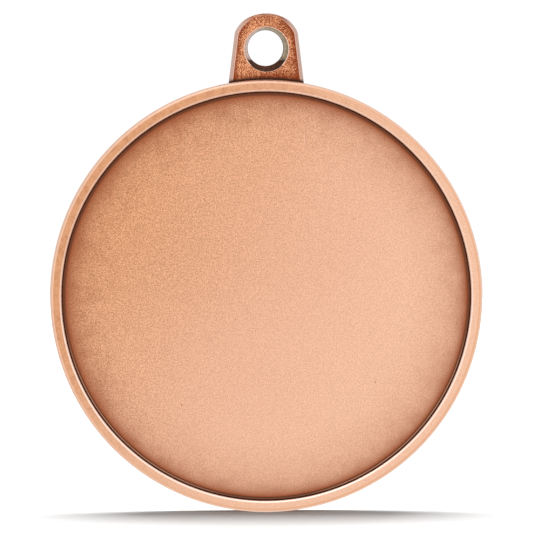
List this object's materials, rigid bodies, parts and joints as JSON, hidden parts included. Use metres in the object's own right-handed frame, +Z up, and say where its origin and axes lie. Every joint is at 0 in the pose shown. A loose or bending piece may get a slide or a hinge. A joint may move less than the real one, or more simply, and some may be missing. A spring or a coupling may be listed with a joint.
{
  "type": "sports finisher medal",
  "caption": "Round blank finisher medal in antique copper finish, with a raised rim, recessed textured discs on both sides and a ribbon loop at the top.",
  "frame": {"origin": "the centre of the ribbon hole, halfway through the thickness of the loop", "axes": "+Z is up, from the disc's centre to the ribbon loop. -Y is the outward normal of the front. +X is to the right when looking at the front."},
  "size_m": [0.07, 0.004, 0.081],
  "materials": {
    "antique_copper_casting": "satin",
    "sandblasted_copper_disc": "matte",
    "adhesive_film": "matte"
  },
  "bodies": {
    "root": {"medal_frame": "antique_copper_casting", "front_disc": "sandblasted_copper_disc", "front_adhesive_film": "adhesive_film", "back_disc": "sandblasted_copper_disc", "back_adhesive_film": "adhesive_film"}
  },
  "joints": []
}
